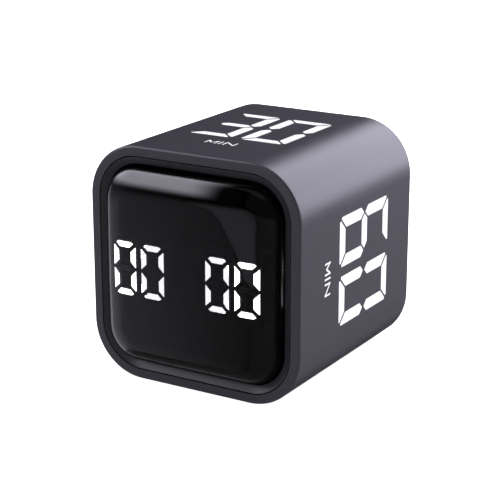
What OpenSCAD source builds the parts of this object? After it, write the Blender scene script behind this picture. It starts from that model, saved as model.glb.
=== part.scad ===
// Cube kitchen timer. The number on the upper side is the preset that runs: the timer
// is turned onto another side to pick another one, and its display faces the front.
// Lengths are in millimetres. The origin is the middle of the base face, +Z is up,
// and the display faces -Y.

/* [Body] */
// Width of the body, side to side
body_w = 60; // [58:1:80]
// Height of the body, base to top
body_h = 60.6; // [58:0.1:80]
// Depth of the outer sleeve, front rim to rear rim
body_d = 59.2; // [56:0.1:80]
// Radius of the four long corners
corner_r = 14; // [13:0.5:15]
// Thickness of the sleeve, which is the width of its front rim
wall = 2.5; // [2:0.1:3]
// Rounding of the sleeve's front and rear edges
edge_r = 0.6; // [0.3:0.1:0.8]

/* [Front] */
// Width of the sloping bezel ring
bezel_lip = 1.82; // [1.6:0.05:2.4]
// How far the bezel ring slopes back on its way in
bezel_slope = 0.9; // [0.2:0.1:1.2]
// Dark gap between the bezel ring and the lens
lens_gap = 0.75; // [0.4:0.05:1]
// How far the domed lens stands out of the front rim
lens_rise = 4.4; // [3.6:0.1:5.5]
// Squareness of the dome's shoulder: 2 is an ellipse, and more is squarer
dome_power = 2.3; // [2:0.1:3]
// Thickness of the lens
lens_t = 1; // [0.8:0.1:1.4]
// Depth of the tray that the lens sits in
tray_depth = 3; // [2.4:0.1:4]

/* [Display] */
// Width of one display digit
led_w = 6.55; // [6:0.05:7]
// Height of one display digit
led_h = 13.7; // [12:0.1:16]
// Stroke of a display segment
led_stroke = 1.45; // [1.1:0.05:1.6]
// Distance from the middle of the display to its inner digits
led_inner_x = 9.3; // [8.5:0.1:9.6]
// Distance between the two digits of a pair
led_pitch = 8.2; // [7.8:0.1:8.4]

/* [Side numbers] */
// Width of one printed digit
print_w = 12.8; // [10:0.1:13.4]
// Height of one printed digit
print_h = 26.3; // [20:0.1:28]
// Stroke of a printed digit
print_stroke = 3; // [2:0.1:3.4]
// Height of the printed unit word
word_h = 3; // [2:0.1:4]

/* [Rear controls] */
// Radius of a push button's cap
key_r = 4.5; // [4:0.1:5]
// Distance between neighbouring push buttons
key_pitch = 14; // [13.8:0.1:15]
// Height of the button row above the middle of the rear cover
key_row_y = 9; // [8:0.5:10]
// Travel of a push button
key_travel = 0.5; // [0.3:0.05:0.6]
// Travel of the sound slider to each side of its middle position
slider_travel = 2; // [1.5:0.1:2]

/* [Inside] */
// Thickness of both circuit boards
board_t = 1.2; // [1:0.1:1.6]
// Thickness of the rear cover
cover_t = 2; // [1.6:0.1:2.4]
// Width of the battery cell
cell_w = 36; // [30:1:38]
// Height of the battery cell
cell_h = 30; // [24:1:30]
// Thickness of the battery cell
cell_t = 5.2; // [4:0.1:8]

/* [Hidden] */
$fn = 64;
eps = 0.01;

// Clearances
slip_gap = 0.2;     // a part that slides in a hole
room = 0.3;         // space round a part that drops in
hole_gap = 0.02;    // a screw in the hole that it cuts
shaft_gap = 0.05;   // a shaft in its bearing

// Inside of the sleeve
inner_w = body_w - 2 * wall;
inner_h = body_h - 2 * wall;
inner_r = corner_r - wall;

// Levels, measured from the rear rim towards the front rim
front_z = body_d;
bezel_depth = 8;
bezel_foot = front_z - bezel_depth;
tray_z = front_z - tray_depth;
floor_t = 1.6;
floor_z = tray_z - floor_t;
boss_h = 1.6;
board_face = floor_z - boss_h;
board_back = board_face - board_t;
shoulder_t = 2;
shoulder_w = 1.5;
chassis_t = 1.6;
front_post_h = 2;
chassis_top = bezel_foot - front_post_h;
chassis_z = chassis_top - chassis_t;
rear_inset = 0.8;
cover_in = rear_inset + cover_t;
ledge_t = 1.5;
ledge_w = 1.2;
post_foot = cover_in + 2.2;
main_rear = cover_in + 7.4;
main_front = main_rear + board_t;

// Front parts
bezel_inset = 0.15;
seam = 0.28;
bezel_w = inner_w - 2 * seam;
bezel_h = inner_h - 2 * seam;
bezel_r = inner_r - seam;
skirt_t = 1.4;
lens_w = bezel_w - 2 * (bezel_lip + lens_gap);
lens_h = bezel_h - 2 * (bezel_lip + lens_gap);
lens_r = bezel_r - bezel_lip - lens_gap;
gasket_t = 0.3;
dome_steps = 14;

// Display
led_gap = 0.42;
led_tip = [0.82, 0.4];
led_tip_run = 0.6;
led_side_down = 1.2;
led_slant = 0.88;
led_xs = [
  -led_inner_x - led_pitch, -led_inner_x, led_inner_x, led_inner_x + led_pitch
];
reflector_w = 2 * (led_inner_x + led_pitch) + led_w + 1.4;
reflector_h = led_h + 3.4;
reflector_under = 0.25;
guide_under = 0.12;
guide_foot = board_face + 2.4;
guide_gap = 0.04;
window_w = reflector_w + 2 * room;
window_h = reflector_h + 2 * room;
display_board_w = 46;
display_board_h = 35;
display_screw = [20, 14.5];

// Screws
screw_r = 1;
pilot_r = screw_r + hole_gap;
pass_r = screw_r + 0.15;
head_r = 1.9;
head_h = 1.3;
boss_r = 2.3;

// Chassis
plate_w = inner_w - 2 * (shoulder_w + room);
plate_h = inner_h - 2 * (shoulder_w + room);
plate_r = inner_r - shoulder_w - room;
post_r = 2.8;
post_off = (plate_r - post_r - 0.1) / sqrt(2);
post_x = plate_w / 2 - plate_r + post_off;
post_y = plate_h / 2 - plate_r + post_off;
chassis_screw = [13, inner_h / 2 - 4.6];
side_t = 1.6;
side_x = plate_w / 2 - 0.7;
side_h = 30;
main_screw = [side_x - side_t - 1, 12];
main_pilot = 6;
rear_pilot = 9;

// Main board, a cross that leaves the four posts free
arm_w = 2 * (post_x - post_r - 0.4);
arm_h = 2 * (post_y - post_r - 0.4);
main_w = 2 * side_x;
main_h = 2 * (plate_h / 2 - 0.7);

// Ribbon cable
ribbon_w = 12;
ribbon_t = 0.2;
ribbon_bend = 1.6;
ribbon_y = display_board_h / 2 + 3.3;
socket_w = ribbon_w + 2.4;
socket_d = 4;
socket_h = 1.6;
socket_y = display_board_h / 2 - 1.5 - socket_d;
ribbon_level = socket_h / 2;

// Battery
cell_r = 1.6;
tape_t = 0.5;
cell_top = chassis_z - tape_t;
cell_z = cell_top - cell_t;
protection_d = 1;
tray_t = 1.2;
tray_wall_h = 3.4;
lead_r = 0.55;
lead_bend = 3;
lead_x = [-13, -11];
lead_y = -cell_h / 2 - protection_d - 2;
plug_y = -8.6;
plug_w = 5.6;
plug_d = 4;
plug_h = 2.6;
plug_z = main_front + 0.9;
lead_z = plug_z + plug_h / 2;

// Rear controls
cap_proud = 0.55;
cap_z = rear_inset - cap_proud;
flange_t = 0.8;
flange_z = cover_in + 0.1;
flange_rim = 1.1;
guide_ring = 0.8;
guide_ring_h = 2.6;
plunger_z = cover_in + 2.5;
switch_w = 6;
switch_h = 3.5;
switch_z = main_rear - switch_h;
plunger_r = 1.7;
plunger_sunk = 0.6;

slider_xy = [12, -8];
slider_cap = [5, 3.4];
slider_body = [8.7, 4.4, 3.6];
slider_stem = 1.9;
slider_flange_z = flange_z;
slider_sock_foot = main_rear - slider_body[2] - 0.3;

usb_xy = [0, -16];
usb_w = 8.94;
usb_h = 3.2;
usb_wall = 0.3;
usb_mouth = rear_inset + 0.5;
plug_recess = [12.8, 7];
plug_recess_d = 0.6;
tongue = [6.7, 0.7];

buzzer_xy = [-12, -8];
buzzer_r = 6;
felt_t = 0.4;
sound_hole_r = 0.7;
sound_hole_ring = 2.6;

pipe_xy = [8.4, -16];
pipe_r = 1;

motor_y = -19;
motor_r = 3;
motor_l = 9;
motor_x = -5;
motor_z = main_front + 0.6 + motor_r;
shaft_r = 0.4;
weight_r = 2.7;
weight_l = 4;
weight_gap = 0.6;
clip_t = 0.5;

// Side numbers
print_gap = 0.5;
print_cut = 1.1;
print_pitch = print_w + 2.4;
print_up = 3.2;
word_drop = 4.45;
word_stroke = 0.52;
ink_depth = 0.25;
ink_sunk = 0.05;

// Colours
graphite = "#4b4a54";
ink_white = "#f2f2f2";
near_black = "#1b1b1f";
board_green = "#1f5a3a";
steel = "#b9bcc2";
chip_black = "#26262a";
cream = "#e9e4d6";
gold = "#c9a24a";

// Puts a part that was drawn lying on its back, rear rim at z = 0, upright.
module upright() {
  translate([0, body_d / 2, body_h / 2]) rotate([90, 0, 0]) children();
}

module rounded(w, h, r) {
  square([w, h - 2 * r], center = true);
  square([w - 2 * r, h], center = true);
  for (sx = [-1, 1], sy = [-1, 1])
    translate([sx * (w / 2 - r), sy * (h / 2 - r)]) circle(r);
}

module slab(w, h, r, z0, z1) {
  translate([0, 0, z0]) linear_extrude(z1 - z0) rounded(w, h, r);
}

module block(w, h, z0, z1) {
  translate([-w / 2, -h / 2, z0]) cube([w, h, z1 - z0]);
}

module post(r, z0, z1) {
  translate([0, 0, z0]) cylinder(r = r, h = z1 - z0);
}

module stadium(w, h, z0, z1) {
  slab(w, h, h / 2 - 0.001, z0, z1);
}

// Carries a profile once round a rounded rectangle. The profile's x runs outward from
// the centre of the corner arcs, and its y is the level.
module around(w, h, r) {
  for (k = [0:3]) {
    half = k % 2 == 0 ? [w / 2 - r, h / 2 - r] : [h / 2 - r, w / 2 - r];
    rotate([0, 0, 90 * k]) {
      translate([half[0], half[1], 0]) rotate_extrude(angle = 90) children();
      translate([half[0], half[1], 0]) rotate([90, 0, 0])
        linear_extrude(2 * half[1]) children();
    }
  }
}

module corners(x, y) {
  for (sx = [-1, 1], sy = [-1, 1]) translate([sx * x, sy * y, 0]) children();
}

module at(xy) {
  translate([xy[0], xy[1], 0]) children();
}

// A pan-head screw. Its head's underside is at z = 0 and its shank points towards +z.
module screw(length) {
  difference() {
    union() {
      post(screw_r, -eps, length);
      post(head_r, -head_h, 0);
    }
    for (a = [0, 90]) rotate([0, 0, a])
      translate([-1.1, -0.22, -head_h - eps]) cube([2.2, 0.44, 0.75]);
  }
}

// Outlines of a printed seven-segment digit's bars, centred on the digit. a is the top
// bar, the letters run clockwise and g is the middle bar. w and h are the digit's width
// and height, t the stroke, g the gap along an edge and c the cut off each outer corner.
function bar_corner(w, h, t, g, c) = [
  [w / 2 - c, h / 2], [w / 2 - c / 2 - g, h / 2 - c / 2], [w / 2 - t - g, h / 2 - t]
];
function flip_x(pts) = [for (i = [len(pts) - 1:-1:0]) [-pts[i][0], pts[i][1]]];
function flip_y(pts) = [for (i = [len(pts) - 1:-1:0]) [pts[i][0], -pts[i][1]]];
function bar_a(w, h, t, g, c) =
  concat(bar_corner(w, h, t, g, c), flip_x(bar_corner(w, h, t, g, c)));
function bar_b(w, h, t, g, c) = [
  [w / 2, h / 2 - c], [w / 2 - c / 2, h / 2 - c / 2 - g], [w / 2 - t, h / 2 - t - g],
  [w / 2 - t, t / 2 + g], [w / 2 - t / 2, g], [w / 2, t / 2 + g]
];
function bar_g(w, t, g) = [
  [w / 2 - t / 2 - g, 0], [w / 2 - t - g, t / 2], [-w / 2 + t + g, t / 2],
  [-w / 2 + t / 2 + g, 0], [-w / 2 + t + g, -t / 2], [w / 2 - t - g, -t / 2]
];

// The bar called name of a digit whose top, upper right and middle bars are a, b and g
function bar(name, a, b, g) =
  name == "a" ? a : name == "b" ? b : name == "g" ? g : name == "c" ? flip_y(b) :
  name == "d" ? flip_y(a) : name == "e" ? flip_x(flip_y(b)) : flip_x(b);

// Bars that each printed digit shows
function bars_of(digit) =
  digit == 0 ? "abcdef" : digit == 1 ? "bc" : digit == 3 ? "abcdg" :
  digit == 5 ? "acdfg" : "acdefg";

module printed_digit(digit) {
  gap = print_gap / sqrt(2);
  a = bar_a(print_w, print_h, print_stroke, gap, print_cut);
  b = bar_b(print_w, print_h, print_stroke, gap, print_cut);
  g = bar_g(print_w, print_stroke, gap);
  for (name = bars_of(digit)) polygon(bar(name, a, b, g));
}

module stroke(p, q) {
  d = q - p;
  translate(p) rotate(atan2(d[1], d[0])) translate([0, -word_stroke / 2])
    square([norm(d), word_stroke]);
}

// The unit word MIN in plain strokes, centred, standing on y = 0
module unit_word() {
  s = word_stroke / 2;
  m = [for (p = [[-4.1, 0], [-4.1, 1], [-2.75, 0.25], [-1.4, 1], [-1.4, 0]])
    [p[0], s + p[1] * (word_h - 2 * s)]];
  n = [for (p = [[1.1, 0], [1.1, 1], [3.9, 0], [3.9, 1]])
    [p[0], s + p[1] * (word_h - 2 * s)]];
  for (line = [m, n], i = [0:len(line) - 2]) {
    stroke(line[i], line[i + 1]);
    translate(line[i]) circle(s);
  }
  for (line = [m, n]) translate(line[len(line) - 1]) circle(s);
  translate([-0.2 - s, 0]) square([word_stroke, word_h]);
}

// A number with its unit word, read from the front edge towards the rear one
module number_outline(digits) {
  for (i = [0:len(digits) - 1])
    translate([(i - (len(digits) - 1) / 2) * print_pitch, print_up])
      printed_digit(digits[i]);
  translate([0, print_up - print_h / 2 - word_drop - word_h]) unit_word();
}

// turn is the angle about the depth axis from the top face to the number's face
module number_prism(digits, turn, depth, sunk) {
  half = turn % 180 == 0 ? body_h / 2 : body_w / 2;
  translate([0, 0, body_h / 2]) rotate([0, turn, 0])
    translate([0, 0, half - depth]) linear_extrude(depth - sunk)
      number_outline(digits);
}

module ink(digits, turn) {
  color(ink_white) number_prism(digits, turn, ink_depth, ink_sunk);
}

module round_off() {
  difference() {
    translate([corner_r - edge_r, -1]) square([edge_r + 1, edge_r + 1]);
    translate([corner_r - edge_r, edge_r]) circle(edge_r);
    translate([corner_r - edge_r - 1, edge_r]) square([edge_r + 3, 2]);
    translate([corner_r - 3 * edge_r, -2]) square([2 * edge_r, edge_r * 2 + 4]);
  }
}

module outer_sleeve() {
  color(graphite) difference() {
    upright() difference() {
      slab(body_w, body_h, corner_r, 0, body_d);
      slab(inner_w, inner_h, inner_r, -1, cover_in);
      slab(inner_w - 2 * ledge_w, inner_h - 2 * ledge_w, inner_r - ledge_w,
           cover_in - 1, cover_in + ledge_t + 1);
      slab(inner_w, inner_h, inner_r, cover_in + ledge_t, bezel_foot - shoulder_t);
      slab(inner_w - 2 * shoulder_w, inner_h - 2 * shoulder_w, inner_r - shoulder_w,
           bezel_foot - shoulder_t - 1, bezel_foot + 1);
      slab(inner_w, inner_h, inner_r, bezel_foot, body_d + 1);
      around(body_w, body_h, corner_r) round_off();
      translate([0, 0, body_d]) mirror([0, 0, 1])
        around(body_w, body_h, corner_r) round_off();
    }
    number_prism([3, 0], 0, ink_depth, -1);
    number_prism([6, 0], 90, ink_depth, -1);
    number_prism([5], 180, ink_depth, -1);
    number_prism([1, 5], 270, ink_depth, -1);
  }
}

// Section of the bezel ring. Its face slopes back from the sleeve towards the lens.
module bezel_section(lip_r) {
  top = front_z - bezel_inset;
  polygon([
    [bezel_r, bezel_foot], [bezel_r, top], [lip_r, top - bezel_slope],
    [lip_r, tray_z], [lip_r - 0.5, tray_z], [lip_r - 0.5, floor_z],
    [bezel_r - skirt_t, floor_z], [bezel_r - skirt_t, bezel_foot]
  ]);
}

module front_bezel() {
  lip_r = bezel_r - bezel_lip;
  color(near_black) upright() difference() {
    union() {
      around(bezel_w, bezel_h, bezel_r) bezel_section(lip_r);
      slab(bezel_w - 2 * bezel_lip, bezel_h - 2 * bezel_lip, lip_r, floor_z, tray_z);
      corners(display_screw[0], display_screw[1]) post(boss_r, board_face, floor_z + 0.5);
      corners(chassis_screw[0], chassis_screw[1]) post(boss_r, bezel_foot, floor_z + 0.5);
    }
    block(window_w, window_h, floor_z - 1, tray_z + 1);
    corners(display_screw[0], display_screw[1])
      post(pilot_r, board_face - 1, tray_z - 0.6);
    corners(chassis_screw[0], chassis_screw[1])
      post(pilot_r, bezel_foot - 1, tray_z - 0.6);
  }
}

module lens_gasket() {
  color(chip_black) upright() difference() {
    slab(lens_w, lens_h, lens_r, tray_z, tray_z + gasket_t);
    slab(lens_w - 2 * lens_t, lens_h - 2 * lens_t, lens_r - lens_t,
         tray_z - 1, tray_z + 1);
  }
}

// The dome's shoulder from its side to its top: a quarter of a superellipse
function dome_arc(a, b) = [for (i = [0:dome_steps]) let (t = 90 * i / dome_steps)
  [a * pow(cos(t), 2 / dome_power), front_z + b * pow(sin(t), 2 / dome_power)]];
function backwards(v) = [for (i = [len(v) - 1:-1:0]) v[i]];

module front_lens() {
  outer = dome_arc(lens_r, lens_rise);
  inner = dome_arc(lens_r - lens_t, lens_rise - lens_t);
  foot = tray_z + gasket_t;
  color("#0d0d0f") upright() {
    around(lens_w, lens_h, lens_r)
      polygon(concat([[lens_r, foot]], outer, backwards(inner),
                     [[lens_r - lens_t, foot]]));
    block(lens_w - 2 * lens_r + 2 * eps, lens_h - 2 * lens_r + 2 * eps,
          front_z + lens_rise - lens_t, front_z + lens_rise);
  }
}

// The room behind the lens where its section is straight, a gap below its inner face
module under_lens(gap) {
  half = [for (p = dome_arc(lens_r - lens_t - gap, lens_rise - lens_t - gap))
    [lens_w / 2 - lens_r + p[0], p[1]]];
  outline = concat([[half[0][0], board_face - 1]], half);
  translate([0, reflector_h, 0]) rotate([90, 0, 0]) linear_extrude(2 * reflector_h)
    polygon(concat(outline, flip_x(outline)));
}

// A bar's outline drawn in towards its own middle
module inset_bar(pts, shrink) {
  mid = [for (k = [0, 1]) (max([for (p = pts) p[k]]) + min([for (p = pts) p[k]])) / 2];
  size = [for (k = [0, 1]) max([for (p = pts) p[k]]) - min([for (p = pts) p[k]])];
  polygon([for (p = pts) [for (k = [0, 1])
    mid[k] + (p[k] - mid[k]) * (size[k] - 2 * shrink) / size[k]]]);
}

// The top bar and the upper right bar of a display digit
function led_top() = let (x = led_w / 2 - led_tip[0], y = led_h / 2,
  right = [[x - led_tip_run, y], [x, y - led_tip[1]],
           [x - led_stroke + led_tip[1], y - led_stroke]])
  concat(right, flip_x(right));
function led_side() = let (x = led_w / 2, y = led_h / 2 - led_side_down) [
  [x, y], [x - led_stroke, y - led_slant * led_stroke],
  [x - led_stroke, led_gap + led_stroke], [x, led_gap]
];

module led_bars(names, shrink, z0) {
  middle = bar_g(led_w, led_stroke, led_gap);
  for (x = led_xs, name = names) translate([x, 0, z0])
    linear_extrude(front_z + lens_rise - z0)
      inset_bar(bar(name, led_top(), led_side(), middle), shrink);
}

module light_guides(names) {
  upright() intersection() {
    led_bars(names, guide_gap, guide_foot);
    under_lens(guide_under);
  }
}

module led_reflector() {
  color(chip_black) upright() difference() {
    intersection() {
      block(reflector_w, reflector_h, board_face, front_z + lens_rise);
      under_lens(reflector_under);
    }
    led_bars("abcdefg", 0, board_face - 1);
  }
}

// The six bars that are lit when all four digits read nought
module segment_light_guides() {
  color("#ffffff") light_guides("abcdef");
}

module middle_light_guides() {
  color("#d9dade") light_guides("g");
}

module segment_leds() {
  tall = led_h / 2 - led_stroke / 2;
  half = led_h / 4 - led_gap / 2;
  side = led_w / 2 - led_stroke / 2;
  spots = [[0, tall, 0], [0, 0, 0], [0, -tall, 0], [side, half, 90], [side, -half, 90],
           [-side, half, 90], [-side, -half, 90]];
  color(cream) upright() for (x = led_xs, s = spots)
    translate([x + s[0], s[1], 0]) rotate([0, 0, s[2]])
      block(1.6, 0.8, board_face, board_face + 0.7);
}

module display_board() {
  color(board_green) upright() difference() {
    slab(display_board_w, display_board_h, 1.5, board_back, board_face);
    corners(display_screw[0], display_screw[1]) post(pass_r, board_back - 1, board_face + 1);
  }
}

module display_board_screws() {
  color(steel) upright() corners(display_screw[0], display_screw[1])
    translate([0, 0, board_back]) screw(tray_z - 1 - board_back);
}

module display_driver_chip() {
  color(chip_black) upright() at([0, -6]) {
    block(7.6, 5.4, board_back - 1.6, board_back - 0.1);
    for (x = [-3.2:1.28:3.2], s = [-1, 1])
      at([x, s * 3.3]) block(0.5, 1.4, board_back - 0.5, board_back);
  }
}

module socket(z0, z1, slot_z) {
  difference() {
    translate([-socket_w / 2, socket_y, z0]) cube([socket_w, socket_d, z1 - z0]);
    translate([-ribbon_w / 2 - 0.1, socket_y + 1, slot_z - ribbon_t / 2 - 0.05])
      cube([ribbon_w + 0.2, socket_d, ribbon_t + 0.1]);
  }
}

module display_socket() {
  color(cream) upright()
    socket(board_back - socket_h, board_back, board_back - ribbon_level);
}

module ribbon_socket() {
  color(cream) upright()
    socket(main_front, main_front + socket_h, main_front + ribbon_level);
}

// Out of the upper socket, back past the battery and into the lower socket
module ribbon_cable() {
  z_hi = board_back - ribbon_level;
  z_lo = main_front + ribbon_level;
  y_in = socket_y + 1.2;
  y_out = ribbon_y - ribbon_bend;
  t = ribbon_t / 2;
  function arc(cy, cz, r, a0, a1) =
    [for (i = [0:6]) let (a = a0 + (a1 - a0) * i / 6) [cy + r * cos(a), cz + r * sin(a)]];
  outer = concat([[y_in, z_hi + t]], arc(y_out, z_hi - ribbon_bend, ribbon_bend + t, 90, 0),
                 arc(y_out, z_lo + ribbon_bend, ribbon_bend + t, 0, -90), [[y_in, z_lo - t]]);
  inner = concat([[y_in, z_hi - t]], arc(y_out, z_hi - ribbon_bend, ribbon_bend - t, 90, 0),
                 arc(y_out, z_lo + ribbon_bend, ribbon_bend - t, 0, -90), [[y_in, z_lo + t]]);
  color("#d9d4c4") upright() rotate([90, 0, 90]) translate([0, 0, -ribbon_w / 2])
    linear_extrude(ribbon_w) polygon(concat(outer, backwards(inner)));
}

module chassis() {
  tray_w = cell_w + 2 * room;
  color("#2b2b30") upright() difference() {
    union() {
      slab(plate_w, plate_h, plate_r, chassis_z, chassis_top);
      corners(chassis_screw[0], chassis_screw[1]) post(boss_r, chassis_z, bezel_foot);
      corners(post_x, post_y) post(post_r, post_foot, chassis_top - 0.5);
      for (s = [-1, 1]) {
        translate([s * (side_x - side_t / 2), 0, 0])
          block(side_t, side_h, main_front, chassis_top - 0.5);
        for (t = [-1, 1]) translate([s * main_screw[0], t * main_screw[1], 0])
          post(boss_r, main_front, main_front + main_pilot + 1);
        translate([s * (tray_w / 2 + tray_t / 2), 0, 0])
          block(tray_t, cell_h, chassis_z - tray_wall_h, chassis_top - 0.5);
      }
      translate([0, cell_h / 2 + room + tray_t / 2, 0])
        block(tray_w, tray_t, chassis_z - tray_wall_h, chassis_top - 0.5);
    }
    corners(chassis_screw[0], chassis_screw[1]) post(pass_r, chassis_z - 1, bezel_foot + 1);
    corners(post_x, post_y) post(pilot_r, post_foot - 1, post_foot + rear_pilot);
    corners(main_screw[0], main_screw[1]) post(pilot_r, main_front - 1, main_front + main_pilot);
    translate([0, ribbon_y, 0]) block(ribbon_w + 3, 3.6, chassis_z - 1, chassis_top + 1);
    block(20, 12, chassis_z - 1, chassis_top + 1);
  }
}

module chassis_screws() {
  color(steel) upright() corners(chassis_screw[0], chassis_screw[1])
    translate([0, 0, chassis_z]) screw(tray_z - 1 - chassis_z);
}

module battery_cell() {
  color("#8f9aa6") upright() translate([0, 0, cell_z]) {
    linear_extrude(cell_t) rounded(cell_w, cell_h, cell_r);
  }
}

module battery_tape() {
  color(cream) upright() for (s = [-1, 1]) translate([s * cell_w / 3, 0, 0])
    block(cell_w / 4, cell_h - 4, cell_top, chassis_z);
}

module battery_protection_board() {
  color(board_green) upright() translate([0, -cell_h / 2 - protection_d / 2, 0])
    block(cell_w - 8, protection_d, cell_z + 0.6, cell_top - 0.6);
}

// A wire from the battery that drops to the main board and turns into its plug
module lead(x) {
  drop_z = lead_z + lead_bend;
  top_z = cell_z + cell_t / 2;
  translate([x, lead_y, drop_z]) cylinder(r = lead_r, h = top_z - drop_z);
  translate([x, lead_y + lead_bend, drop_z]) rotate([0, 90, 0]) rotate([0, 0, 180])
    mirror([1, 0, 0]) rotate([0, 0, 180]) rotate_extrude(angle = 90)
      translate([lead_bend, 0]) circle(lead_r);
  translate([x, lead_y + lead_bend, lead_z]) rotate([-90, 0, 0])
    cylinder(r = lead_r, h = plug_y - lead_y - lead_bend);
  translate([x, lead_y - 0.5, top_z - 0.6]) rotate([-90, 0, 0])
    cylinder(r = lead_r, h = -cell_h / 2 - protection_d - lead_y + 0.5);
}

module battery_lead_red() {
  color("#b3201c") upright() lead(lead_x[0]);
}

module battery_lead_black() {
  color("#111111") upright() lead(lead_x[1]);
}

module battery_plug() {
  color(cream) upright() translate([(lead_x[0] + lead_x[1]) / 2, plug_y + plug_d / 2, 0])
    block(plug_w, plug_d, plug_z, plug_z + plug_h);
}

module battery_socket() {
  w = plug_w + 1.6;
  depth = 5;
  y0 = plug_y + 1.2;
  color("#f3f0e6") upright() difference() {
    translate([(lead_x[0] + lead_x[1]) / 2, y0 + depth / 2, 0])
      block(w, depth, main_front, plug_z + plug_h + 0.8);
    translate([(lead_x[0] + lead_x[1]) / 2, plug_y + plug_d / 2 - 0.45, 0])
      block(plug_w + 0.2, plug_d + 1.1, plug_z - 0.1, plug_z + plug_h + 0.1);
  }
}

module main_board() {
  color(board_green) upright() difference() {
    union() {
      block(main_w, arm_h, main_rear, main_front);
      block(arm_w, main_h, main_rear, main_front);
    }
    corners(main_screw[0], main_screw[1]) post(pass_r, main_rear - 1, main_front + 1);
  }
}

module main_board_screws() {
  color(steel) upright() corners(main_screw[0], main_screw[1])
    translate([0, 0, main_rear]) screw(board_t + main_pilot - 1);
}

module chip(w, h, t, legs) {
  z = main_front;
  block(w, h, z + 0.1, z + t);
  for (i = [0:legs - 1], s = [-1, 1]) {
    x = (i - (legs - 1) / 2) * w / (legs + 0.5);
    at([x, s * (h / 2 + 0.4)]) block(0.35, 1.2, z, z + 0.4);
  }
}

module microcontroller() {
  color(chip_black) upright() at([-6, 4]) chip(10, 6, 1.6, 8);
}

module gravity_sensor() {
  color(chip_black) upright() at([10, 5]) block(2, 2, main_front, main_front + 0.9);
}

module charge_controller() {
  color(chip_black) upright() at([10, -6]) chip(4.9, 3.9, 1.5, 4);
}

module resistors_and_capacitors() {
  z = main_front;
  color("#a88a5a") upright() {
    for (i = [0:4]) at([2.5 + 2.6 * i, 9.5]) block(1.6, 0.8, z, z + 0.5);
    for (i = [0:3]) at([4 + 2.6 * i, 0]) block(0.8, 1.6, z, z + 0.6);
    for (i = [0:2]) at([15.5, 2 - 2.6 * i]) block(1.6, 0.8, z, z + 0.5);
  }
}

module usb_c_shell() {
  color(steel) upright() at(usb_xy) difference() {
    stadium(usb_w, usb_h, usb_mouth, main_rear);
    stadium(usb_w - 2 * usb_wall, usb_h - 2 * usb_wall, usb_mouth - 1, main_rear + 1);
  }
}

module usb_c_tongue() {
  seat = main_rear - 1.6;
  color(chip_black) upright() at(usb_xy) {
    stadium(usb_w - 2 * usb_wall - 0.1, usb_h - 2 * usb_wall - 0.1, seat, main_rear);
    block(tongue[0], tongue[1], usb_mouth + 0.7, seat + 0.1);
  }
}

module buzzer() {
  color("#202024") upright() at(buzzer_xy) difference() {
    post(buzzer_r, cover_in + felt_t, main_rear);
    post(1.2, cover_in, cover_in + felt_t + 2.5);
  }
}

module buzzer_felt() {
  color("#3a3a3e") upright() at(buzzer_xy) post(buzzer_r - 1, cover_in, cover_in + felt_t);
}

module along_x(r, x0, x1) {
  translate([x0, motor_y, motor_z]) rotate([0, 90, 0]) cylinder(r = r, h = x1 - x0);
}

module motor_can() {
  color(steel) upright() difference() {
    along_x(motor_r, motor_x, motor_x + motor_l);
    along_x(shaft_r + shaft_gap, motor_x + 1, motor_x + motor_l + 1);
  }
}

module motor_clip() {
  color("#5c5c62") upright() difference() {
    union() {
      along_x(motor_r + clip_t, motor_x + 2, motor_x + motor_l - 2);
      translate([motor_x + 2, motor_y - motor_r - 1.5, main_front])
        cube([motor_l - 4, 2 * motor_r + 3, 0.5]);
      translate([motor_x + 2, motor_y - 2, main_front]) cube([motor_l - 4, 4, 1]);
    }
    along_x(motor_r, motor_x, motor_x + motor_l);
  }
}

module motor_shaft() {
  tip = motor_x + motor_l + weight_gap + weight_l + 0.3;
  color(steel) upright() along_x(shaft_r, motor_x + 1.5, tip);
}

// A half round weight that hangs below the shaft
module motor_weight() {
  x0 = motor_x + motor_l + weight_gap;
  color(gold) upright() difference() {
    along_x(weight_r, x0, x0 + weight_l);
    along_x(shaft_r, x0 - 1, x0 + weight_l + 1);
    translate([x0 - 1, motor_y + shaft_r + 0.35, motor_z - weight_r - 1])
      cube([weight_l + 2, weight_r + 1, 2 * weight_r + 2]);
  }
}

function key_xy(i) = [(1 - i) * key_pitch, key_row_y];

module tact_switch(i) {
  color(chip_black) upright() at(key_xy(i)) difference() {
    block(switch_w, switch_w, switch_z, main_rear);
    post(plunger_r + slip_gap / 2, switch_z - 1, switch_z + plunger_sunk + key_travel + 0.4);
  }
}

module plunger(i) {
  color("#6a6a70") upright() at(key_xy(i))
    post(plunger_r, plunger_z, switch_z + plunger_sunk);
}

// A button: a cap with a rounded rim, a flange behind the cover and a stem
module key(i) {
  rim = 0.4;
  color(near_black) upright() at(key_xy(i)) {
    rotate_extrude() difference() {
      translate([0, cap_z]) square([key_r, flange_z - cap_z + eps]);
      difference() {
        translate([key_r - rim, cap_z - 1]) square([rim + 1, rim + 1]);
        translate([key_r - rim, cap_z + rim]) circle(rim);
      }
    }
    post(key_r + flange_rim, flange_z, flange_z + flange_t);
    post(1.6, flange_z + flange_t - eps, plunger_z);
  }
}

module sound_switch_body() {
  slot = slider_stem + 2 * slider_travel + 2 * slip_gap;
  z0 = main_rear - slider_body[2];
  color(steel) upright() at(slider_xy) difference() {
    block(slider_body[0], slider_body[1], z0, main_rear);
    block(slot, slider_stem + 2 * slip_gap, z0 - 1, z0 + 2);
  }
}

module sound_switch_stem() {
  color(chip_black) upright() at(slider_xy)
    block(slider_stem, slider_stem, slider_flange_z + 1.2, main_rear - slider_body[2] + 1.6);
}

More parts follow.
